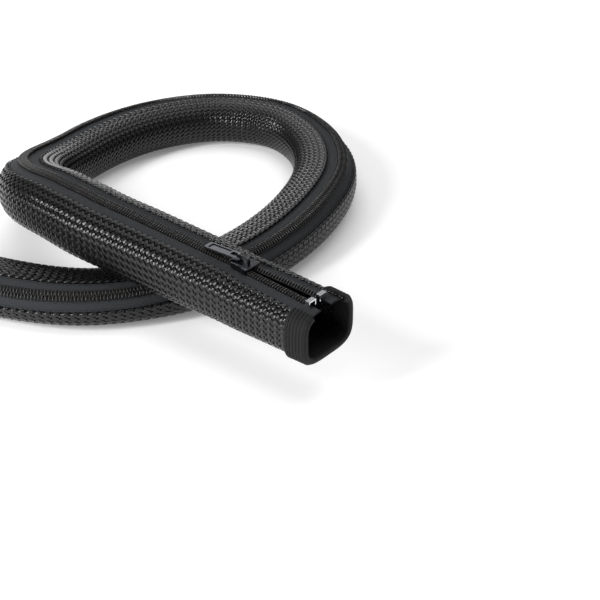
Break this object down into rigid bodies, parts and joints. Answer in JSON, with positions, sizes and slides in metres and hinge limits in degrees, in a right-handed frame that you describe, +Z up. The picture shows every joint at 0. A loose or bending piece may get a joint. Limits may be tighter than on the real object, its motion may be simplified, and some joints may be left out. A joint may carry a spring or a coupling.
{
  "type": "zippered cable sleeve",
  "caption": "Black braided cable sleeve with a coil zipper along its whole length, lying in a loose loop.",
  "frame": {"origin": "on the floor, under the middle of the whole object's box", "axes": "+Z up, +X along the straight front stretch towards its open mouth"},
  "size_m": [0.3226, 0.2806, 0.0571],
  "materials": {
    "braid": "woven polyester monofilament, shiny",
    "binding": "ribbed woven binding tape, folded and stitched",
    "tape": "dark grey woven zipper tape",
    "coil": "dark nylon coil",
    "slider_metal": "gunmetal plated die-cast zinc",
    "bright_metal": "bright plated metal"
  },
  "bodies": {
    "sleeve": {"braid_sleeve": "braid", "mouth_hem": "binding", "far_hem": "binding", "zip_tape_left": "tape", "zip_tape_right": "tape", "zip_coil_left": "coil", "zip_coil_right": "coil", "top_stop_left": "bright_metal", "top_stop_right": "bright_metal", "bottom_stop": "bright_metal"},
    "slider": {"slider_body": "slider_metal"},
    "pull": {"pull_tab": "slider_metal"}
  },
  "joints": [
    {"name": "slider_travel", "type": "slide", "parent": "sleeve", "child": "slider", "axis": [0.9995, 0, -0.0312], "range_m": [-0.07, 0.036], "deforming": ["zip_coil_left", "zip_coil_right"]},
    {"name": "pull_swing", "type": "hinge", "parent": "slider", "child": "pull", "pos_m": [0.10595, -0.06165, 0.05514], "axis": [0, 1, 0], "range_deg": [0, 160]}
  ]
}
